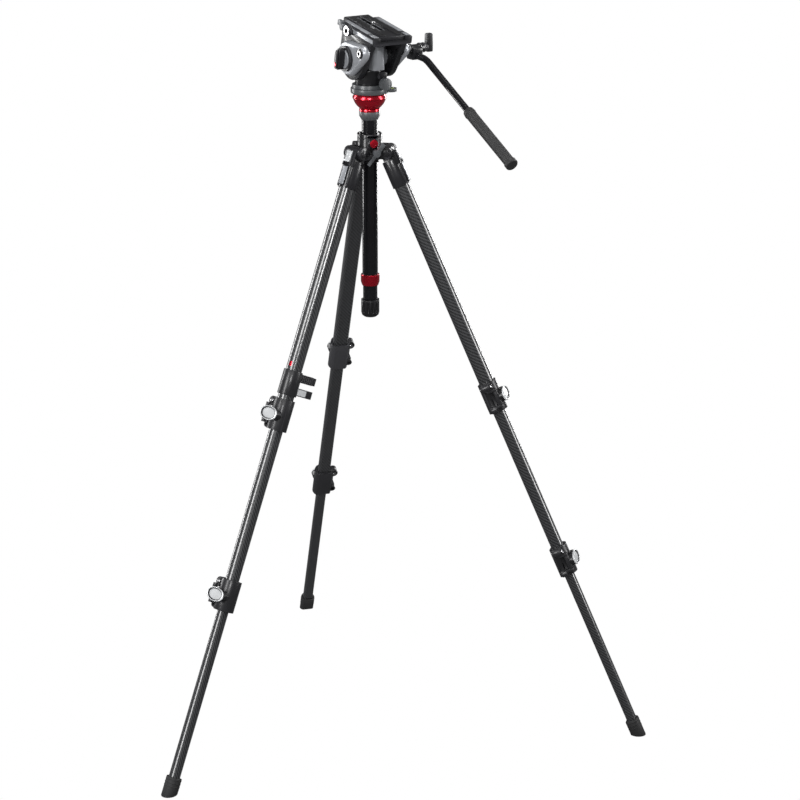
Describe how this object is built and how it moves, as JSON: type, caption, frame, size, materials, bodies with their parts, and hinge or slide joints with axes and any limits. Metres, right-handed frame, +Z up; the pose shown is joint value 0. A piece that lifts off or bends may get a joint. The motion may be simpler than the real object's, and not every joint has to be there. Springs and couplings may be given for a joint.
{
  "type": "tripod with fluid head",
  "caption": "Camera tripod with telescoping carbon legs, flip clamps, a levelling centre column and a fluid pan and tilt head with a pan bar.",
  "frame": {"origin": "on the ground, under the centre column's axis", "axes": "+Z up along the column; leg a at 210 degrees, leg b at 330 degrees and leg c at 90 degrees about +Z"},
  "size_m": [0.9178, 0.8493, 1.3191],
  "materials": {
    "casting": "satin black die casting",
    "carbon": "glossy twill carbon fibre",
    "clamp_plastic": "satin black technopolymer",
    "silver": "silver-grey paint",
    "rubber": "black rubber",
    "red": "red anodised",
    "column": "gloss black anodised",
    "grey_plastic": "dark grey plastic",
    "light_grey": "light grey painted metal",
    "steel": "bright steel",
    "bushing": "self-lubricating plastic",
    "bubble": "grey plastic with vial"
  },
  "bodies": {
    "shoulder": {"shoulder_casting": "casting", "column_bush": "bushing", "leg_pivot_pins": "casting"},
    "column_lock": {"column_lock_lever": "grey_plastic"},
    "column": {"column_tube": "column", "column_collar": "grey_plastic", "column_rings": "red"},
    "level_lock": {"level_handle": "clamp_plastic"},
    "level_washer": {"level_washer": "bushing"},
    "level_ball": {"level_ball": "red", "level_plate": "red", "head_base": "grey_plastic", "bubble_level": "bubble"},
    "pan_block": {"pan_housing": "casting", "tilt_post": "light_grey", "tilt_axle": "steel"},
    "pan_lock": {"pan_lock_knob": "grey_plastic"},
    "tilt_block": {"bridge": "casting", "accessory_socket": "steel", "arm_covers": "light_grey"},
    "tilt_lock": {"tilt_lock_knob": "clamp_plastic"},
    "plate_lock": {"plate_lock_lever": "grey_plastic"},
    "plate_release": {"plate_release_button": "grey_plastic"},
    "plate": {"slide_plate": "casting"},
    "screw": {"camera_screw": "steel"},
    "pan_bar": {"bar_clamp": "casting", "pan_bar": "column", "pan_grip": "rubber"},
    "bar_lock": {"wing_knob": "clamp_plastic"},
    "leg_a": {"yoke_a": "casting", "upper_tube_a": "carbon", "upper_clamp_a": "clamp_plastic", "tool_clip": "clamp_plastic"},
    "tab_a": {"angle_tab_a": "silver"},
    "upper_lever_a": {"upper_lever_a": "clamp_plastic"},
    "middle_a": {"middle_tube_a": "carbon", "lower_clamp_a": "clamp_plastic"},
    "lower_lever_a": {"lower_lever_a": "clamp_plastic"},
    "lower_a": {"lower_tube_a": "carbon", "foot_a": "rubber"},
    "leg_b": {"yoke_b": "casting", "upper_tube_b": "carbon", "upper_clamp_b": "clamp_plastic"},
    "tab_b": {"angle_tab_b": "silver"},
    "upper_lever_b": {"upper_lever_b": "clamp_plastic"},
    "middle_b": {"middle_tube_b": "carbon", "lower_clamp_b": "clamp_plastic"},
    "lower_lever_b": {"lower_lever_b": "clamp_plastic"},
    "lower_b": {"lower_tube_b": "carbon", "foot_b": "rubber"},
    "leg_c": {"yoke_c": "casting", "upper_tube_c": "carbon", "upper_clamp_c": "clamp_plastic"},
    "tab_c": {"angle_tab_c": "silver"},
    "upper_lever_c": {"upper_lever_c": "clamp_plastic"},
    "middle_c": {"middle_tube_c": "carbon", "lower_clamp_c": "clamp_plastic"},
    "lower_lever_c": {"lower_lever_c": "clamp_plastic"},
    "lower_c": {"lower_tube_c": "carbon", "foot_c": "rubber"}
  },
  "joints": [
    {"name": "leg_a_splay", "type": "hinge", "parent": "shoulder", "child": "leg_a", "pos_m": [-0.02944, -0.017, 1.082], "axis": [-0.5, 0.866, 0], "range_deg": [-24, 64]},
    {"name": "tab_a_slide", "type": "slide", "parent": "leg_a", "child": "tab_a", "axis": [-0.3522, -0.2034, -0.9135], "range_m": [0, 0.006], "stiffness_N_per_m": 400, "springref_m": -0.002},
    {"name": "upper_lever_a_flip", "type": "hinge", "parent": "leg_a", "child": "upper_lever_a", "pos_m": [-0.21987, -0.10211, 0.64675], "axis": [-0.3522, -0.2034, -0.9135], "range_deg": [0, 120]},
    {"name": "middle_a_slide", "type": "slide", "parent": "leg_a", "child": "middle_a", "axis": [-0.3522, -0.2034, -0.9135], "range_m": [-0.274, 0.06]},
    {"name": "lower_lever_a_flip", "type": "hinge", "parent": "middle_a", "child": "lower_lever_a", "pos_m": [-0.33752, -0.17004, 0.34163], "axis": [-0.3522, -0.2034, -0.9135], "range_deg": [0, 120]},
    {"name": "lower_a_slide", "type": "slide", "parent": "middle_a", "child": "lower_a", "axis": [-0.3522, -0.2034, -0.9135], "range_m": [-0.3, 0.07]},
    {"name": "leg_b_splay", "type": "hinge", "parent": "shoulder", "child": "leg_b", "pos_m": [0.02944, -0.017, 1.082], "axis": [-0.5, -0.866, 0], "range_deg": [-24, 64]},
    {"name": "tab_b_slide", "type": "slide", "parent": "leg_b", "child": "tab_b", "axis": [0.3522, -0.2034, -0.9135], "range_m": [0, 0.006], "stiffness_N_per_m": 400, "springref_m": -0.002},
    {"name": "upper_lever_b_flip", "type": "hinge", "parent": "leg_b", "child": "upper_lever_b", "pos_m": [0.19837, -0.13935, 0.64675], "axis": [0.3522, -0.2034, -0.9135], "range_deg": [0, 120]},
    {"name": "middle_b_slide", "type": "slide", "parent": "leg_b", "child": "middle_b", "axis": [0.3522, -0.2034, -0.9135], "range_m": [-0.274, 0.06]},
    {"name": "lower_lever_b_flip", "type": "hinge", "parent": "middle_b", "child": "lower_lever_b", "pos_m": [0.31602, -0.20728, 0.34163], "axis": [0.3522, -0.2034, -0.9135], "range_deg": [0, 120]},
    {"name": "lower_b_slide", "type": "slide", "parent": "middle_b", "child": "lower_b", "axis": [0.3522, -0.2034, -0.9135], "range_m": [-0.3, 0.07]},
    {"name": "leg_c_splay", "type": "hinge", "parent": "shoulder", "child": "leg_c", "pos_m": [0, 0.034, 1.082], "axis": [1, 0, 0], "range_deg": [-24, 64]},
    {"name": "tab_c_slide", "type": "slide", "parent": "leg_c", "child": "tab_c", "axis": [0, 0.4067, -0.9135], "range_m": [0, 0.006], "stiffness_N_per_m": 400, "springref_m": -0.002},
    {"name": "upper_lever_c_flip", "type": "hinge", "parent": "leg_c", "child": "upper_lever_c", "pos_m": [0.0215, 0.24147, 0.64675], "axis": [0, 0.4067, -0.9135], "range_deg": [0, 120]},
    {"name": "middle_c_slide", "type": "slide", "parent": "leg_c", "child": "middle_c", "axis": [0, 0.4067, -0.9135], "range_m": [-0.274, 0.06]},
    {"name": "lower_lever_c_flip", "type": "hinge", "parent": "middle_c", "child": "lower_lever_c", "pos_m": [0.0215, 0.37732, 0.34163], "axis": [0, 0.4067, -0.9135], "range_deg": [0, 120]},
    {"name": "lower_c_slide", "type": "slide", "parent": "middle_c", "child": "lower_c", "axis": [0, 0.4067, -0.9135], "range_m": [-0.3, 0.07]},
    {"name": "column_slide", "type": "slide", "parent": "shoulder", "child": "column", "axis": [0, 0, 1], "range_m": [-0.024, 0.18]},
    {"name": "column_lock_turn", "type": "hinge", "parent": "shoulder", "child": "column_lock", "pos_m": [0.003, -0.03, 1.083], "axis": [0, 1, 0], "range_deg": [-75, 0]},
    {"name": "level_lock_turn", "type": "hinge", "parent": "column", "child": "level_lock", "pos_m": [0, 0, 0.79], "axis": [0, 0, 1], "range_deg": [-180, 180]},
    {"name": "level_tilt_x", "type": "hinge", "parent": "column", "child": "level_washer", "pos_m": [0, 0, 1.183], "axis": [1, 0, 0], "range_deg": [-11, 11]},
    {"name": "level_tilt_y", "type": "hinge", "parent": "level_washer", "child": "level_ball", "pos_m": [0, 0, 1.183], "axis": [0, 1, 0], "range_deg": [-11, 11]},
    {"name": "pan", "type": "hinge", "parent": "level_ball", "child": "pan_block", "pos_m": [0, 0, 1.2], "axis": [0, 0, 1], "continuous": true},
    {"name": "pan_lock_turn", "type": "hinge", "parent": "pan_block", "child": "pan_lock", "pos_m": [0.01885, -0.03196, 1.2056], "axis": [0.284, -0.9588, 0], "range_deg": [-90, 90]},
    {"name": "tilt", "type": "hinge", "parent": "pan_block", "child": "tilt_block", "pos_m": [0, 0, 1.251], "axis": [0.9588, 0.284, 0], "range_deg": [-80, 48]},
    {"name": "tilt_lock_turn", "type": "hinge", "parent": "tilt_block", "child": "tilt_lock", "pos_m": [-0.05753, -0.01704, 1.251], "axis": [0.9588, 0.284, 0], "range_deg": [-90, 90]},
    {"name": "plate_lock_flip", "type": "hinge", "parent": "tilt_block", "child": "plate_lock", "pos_m": [-0.04575, 0.00655, 1.30294], "axis": [0.9588, 0.284, 0], "range_deg": [0, 60]},
    {"name": "plate_release_press", "type": "slide", "parent": "tilt_block", "child": "plate_release", "axis": [0.0493, -0.1665, 0.9848], "range_m": [-0.002, 0], "stiffness_N_per_m": 400, "springref_m": 0.001},
    {"name": "plate_slide", "type": "slide", "parent": "tilt_block", "child": "plate", "axis": [-0.2797, 0.9443, 0.1736], "range_m": [-0.03, 0.03]},
    {"name": "screw_turn", "type": "hinge", "parent": "plate", "child": "screw", "pos_m": [0.00327, -0.01105, 1.30482], "axis": [0.0493, -0.1665, 0.9848], "continuous": true},
    {"name": "pan_bar_angle", "type": "hinge", "parent": "tilt_block", "child": "pan_bar", "pos_m": [0.07448, -0.02609, 1.2652], "axis": [-0.9588, -0.284, 0], "range_deg": [-30, 60]},
    {"name": "bar_lock_turn", "type": "hinge", "parent": "pan_bar", "child": "bar_lock", "pos_m": [0.10132, -0.01814, 1.2652], "axis": [0.9588, 0.284, 0], "range_deg": [-90, 90]}
  ]
}
